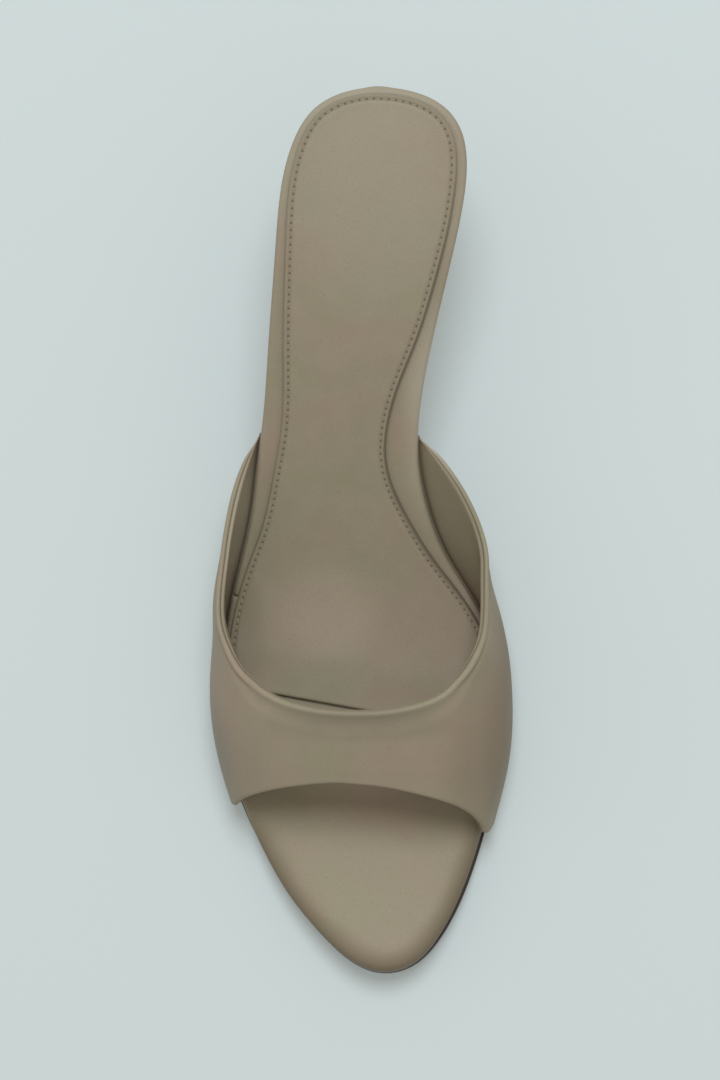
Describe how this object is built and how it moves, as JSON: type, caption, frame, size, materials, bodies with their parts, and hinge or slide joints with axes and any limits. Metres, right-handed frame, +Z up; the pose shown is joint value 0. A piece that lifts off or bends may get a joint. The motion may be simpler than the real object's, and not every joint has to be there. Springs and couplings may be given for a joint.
{
  "type": "kitten heel sandal",
  "caption": "Right peep-toe mule sandal on a slim kitten heel, with a deep scooped vamp band and a padded stitched sock.",
  "frame": {"origin": "on the floor under the middle of the bounding box", "axes": "+Y from the toe to the heel, +X towards the inner side of the foot, +Z up"},
  "size_m": [0.0838, 0.2414, 0.0611],
  "materials": {
    "leather": "smooth taupe leather, soft sheen",
    "sock_leather": "soft taupe lining leather, matte",
    "sole_leather": "dark brown sole leather, smooth",
    "rubber": "hard dark rubber, matte"
  },
  "bodies": {
    "root": {"outsole": "sole_leather", "footbed": "leather", "sock": "sock_leather", "upper": "leather", "heel": "leather", "top_lift": "rubber"}
  },
  "joints": []
}
